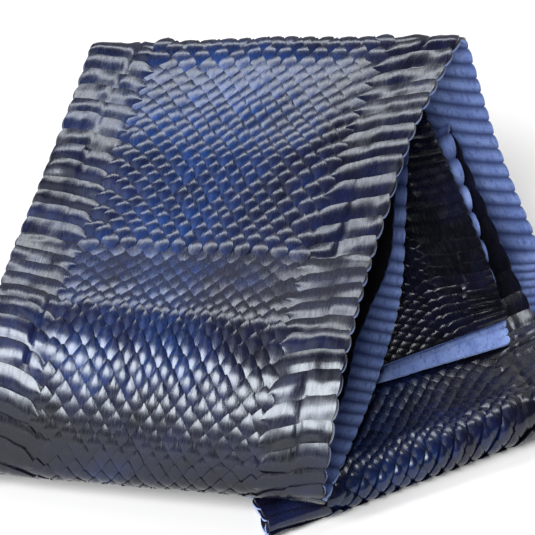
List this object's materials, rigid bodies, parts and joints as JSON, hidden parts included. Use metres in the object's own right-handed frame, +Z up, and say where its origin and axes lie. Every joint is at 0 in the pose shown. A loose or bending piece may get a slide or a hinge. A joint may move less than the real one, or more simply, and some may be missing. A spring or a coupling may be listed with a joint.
{
  "type": "tanned snake skin",
  "caption": "Belly-cut snake leather strip folded over itself and set down as a small open tent, scale side out on its broad front panel, suede side showing inside the folds.",
  "frame": {"origin": "on the surface the skin rests on, under the middle of its overall box", "axes": "+Z up, -Y towards the broad front roll, +X towards the open side where the inner leaves show"},
  "size_m": [0.189, 0.2006, 0.0926],
  "materials": {
    "snake_skin": "glossy dyed scale side, matt suede flesh side"
  },
  "bodies": {
    "root": {"snake_skin": "snake_skin"}
  },
  "joints": []
}
